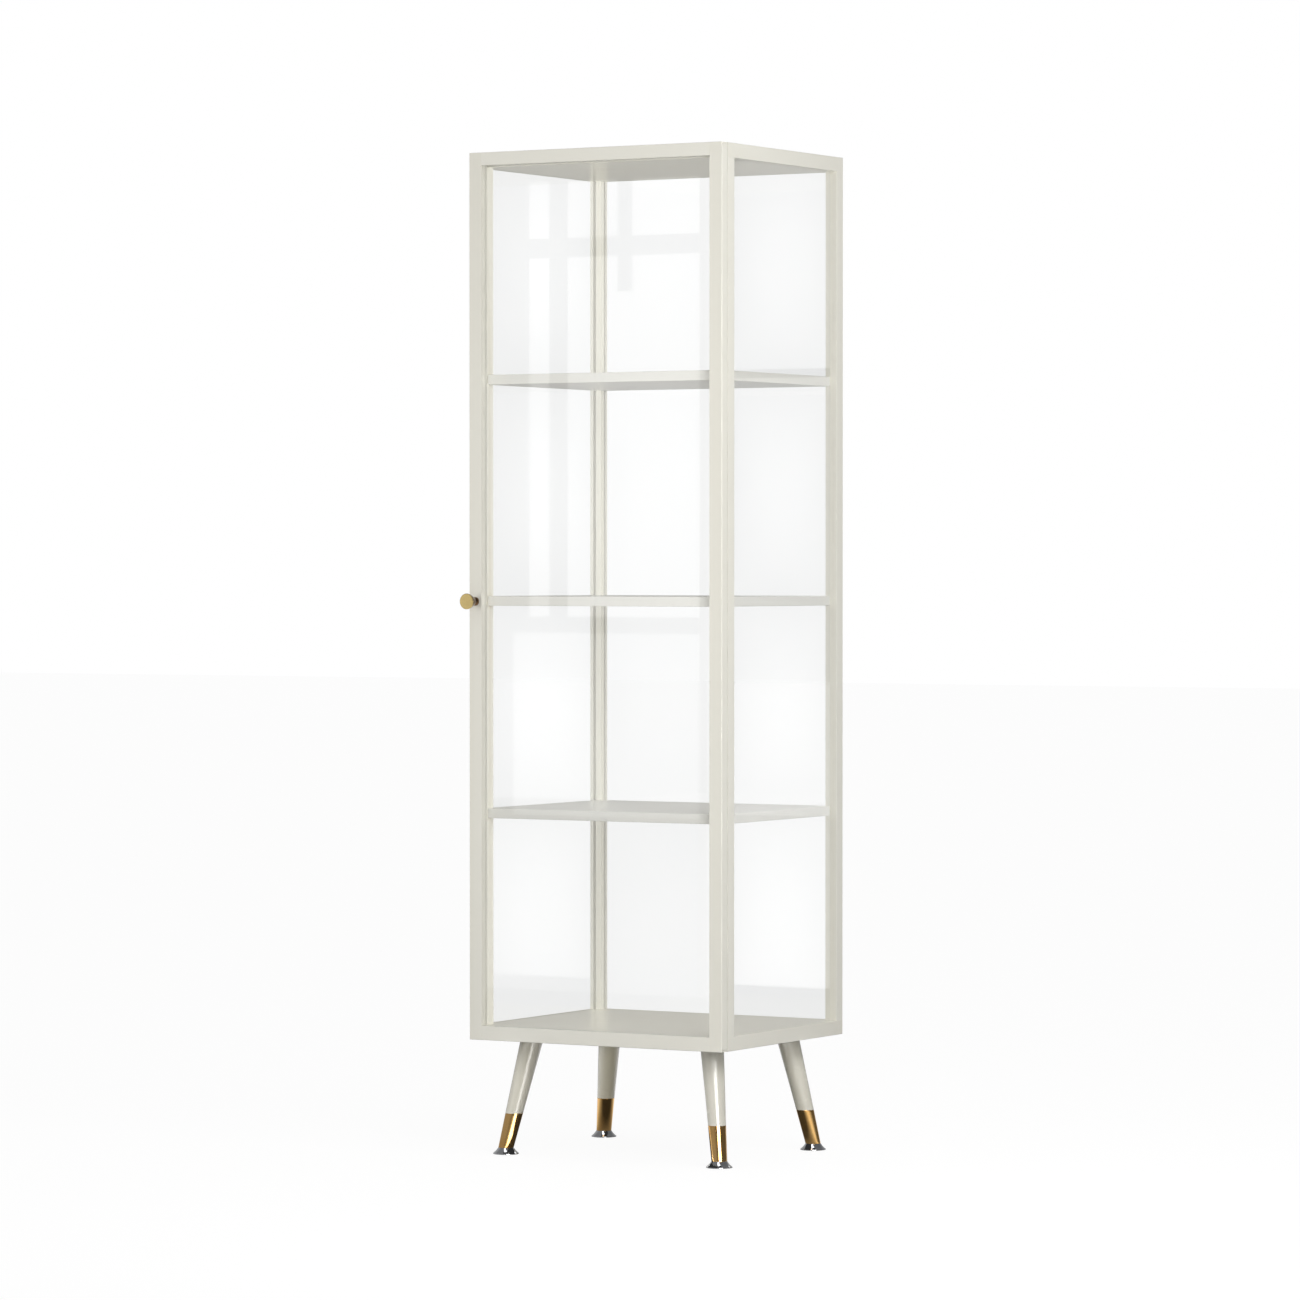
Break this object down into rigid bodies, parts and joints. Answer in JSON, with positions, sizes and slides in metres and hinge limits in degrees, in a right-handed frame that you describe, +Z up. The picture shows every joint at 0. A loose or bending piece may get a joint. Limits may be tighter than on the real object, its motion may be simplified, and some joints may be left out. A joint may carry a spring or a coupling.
{
  "type": "curio cabinet",
  "caption": "Tall glazed curio cabinet on splayed tapered legs: framed glass door, glass sides and back, painted shelves, brass leg ends and knob, levelling feet.",
  "frame": {"origin": "on the floor, at the middle of the box around the whole object, the door knob counted in it (the knob's rim overhangs the left side by 1.2 mm, so the cabinet itself is centred in X)", "axes": "+Z up, +Y towards the back, so the door looks along -Y and +X is to the right for someone facing the door"},
  "size_m": [0.4512, 0.406, 1.55],
  "materials": {
    "paint": "warm off-white satin paint on wood",
    "painted_steel": "steel painted with the cabinet",
    "clear_glass": "clear polished float glass, 4 mm",
    "polished_brass": "polished, lacquered",
    "bush_brass": "turned, plain",
    "chrome": "polished chrome plate",
    "zinc_steel": "zinc plated",
    "shelf_pin_steel": "nickel plated",
    "magnet": "nickel plated magnet"
  },
  "bodies": {
    "case": {"top_panel": "paint", "bottom_panel": "paint", "post_front_left": "paint", "post_front_right": "paint", "post_rear_left": "paint", "post_rear_right": "paint", "shelf_upper": "paint", "shelf_middle": "paint", "shelf_lower": "paint", "leg_front_left": "paint", "leg_front_right": "paint", "leg_rear_left": "paint", "leg_rear_right": "paint", "glass_left": "clear_glass", "glass_right": "clear_glass", "glass_rear": "clear_glass", "shelf_pin_upper_front_left": "shelf_pin_steel", "shelf_pin_upper_front_right": "shelf_pin_steel", "shelf_pin_upper_rear_left": "shelf_pin_steel", "shelf_pin_upper_rear_right": "shelf_pin_steel", "shelf_pin_middle_front_left": "shelf_pin_steel", "shelf_pin_middle_front_right": "shelf_pin_steel", "shelf_pin_middle_rear_left": "shelf_pin_steel", "shelf_pin_middle_rear_right": "shelf_pin_steel", "shelf_pin_lower_front_left": "shelf_pin_steel", "shelf_pin_lower_front_right": "shelf_pin_steel", "shelf_pin_lower_rear_left": "shelf_pin_steel", "shelf_pin_lower_rear_right": "shelf_pin_steel", "ferrule_front_left": "polished_brass", "ferrule_front_right": "polished_brass", "ferrule_rear_left": "polished_brass", "ferrule_rear_right": "polished_brass", "leg_plate_front_left": "zinc_steel", "leg_plate_front_right": "zinc_steel", "leg_plate_rear_left": "zinc_steel", "leg_plate_rear_right": "zinc_steel", "hinge_plate_top": "painted_steel", "hinge_plate_bottom": "painted_steel", "hinge_pin_top": "zinc_steel", "hinge_pin_bottom": "zinc_steel", "hinge_screw_top_front": "zinc_steel", "hinge_screw_top_rear": "zinc_steel", "hinge_screw_bottom_front": "zinc_steel", "hinge_screw_bottom_rear": "zinc_steel", "catch_magnet": "magnet"},
    "door": {"door_stile_left": "paint", "door_stile_right": "paint", "door_rail_top": "paint", "door_rail_bottom": "paint", "door_glass": "clear_glass", "knob": "polished_brass", "knob_screw": "zinc_steel", "hinge_bush_top": "bush_brass", "hinge_bush_bottom": "bush_brass", "catch_strike": "zinc_steel"},
    "foot_front_left": {"foot_front_left": "chrome"},
    "foot_front_right": {"foot_front_right": "chrome"},
    "foot_rear_left": {"foot_rear_left": "chrome"},
    "foot_rear_right": {"foot_rear_right": "chrome"}
  },
  "joints": [
    {"name": "door_swing", "type": "hinge", "parent": "case", "child": "door", "pos_m": [0.22, -0.171, 0.865], "axis": [0, 0, 1], "range_deg": [0, 100]},
    {"name": "foot_front_left_level", "type": "slide", "parent": "case", "child": "foot_front_left", "axis": [0, 0, -1], "range_m": [0, 0.008]},
    {"name": "foot_front_right_level", "type": "slide", "parent": "case", "child": "foot_front_right", "axis": [0, 0, -1], "range_m": [0, 0.008]},
    {"name": "foot_rear_left_level", "type": "slide", "parent": "case", "child": "foot_rear_left", "axis": [0, 0, -1], "range_m": [0, 0.008]},
    {"name": "foot_rear_right_level", "type": "slide", "parent": "case", "child": "foot_rear_right", "axis": [0, 0, -1], "range_m": [0, 0.008]}
  ]
}
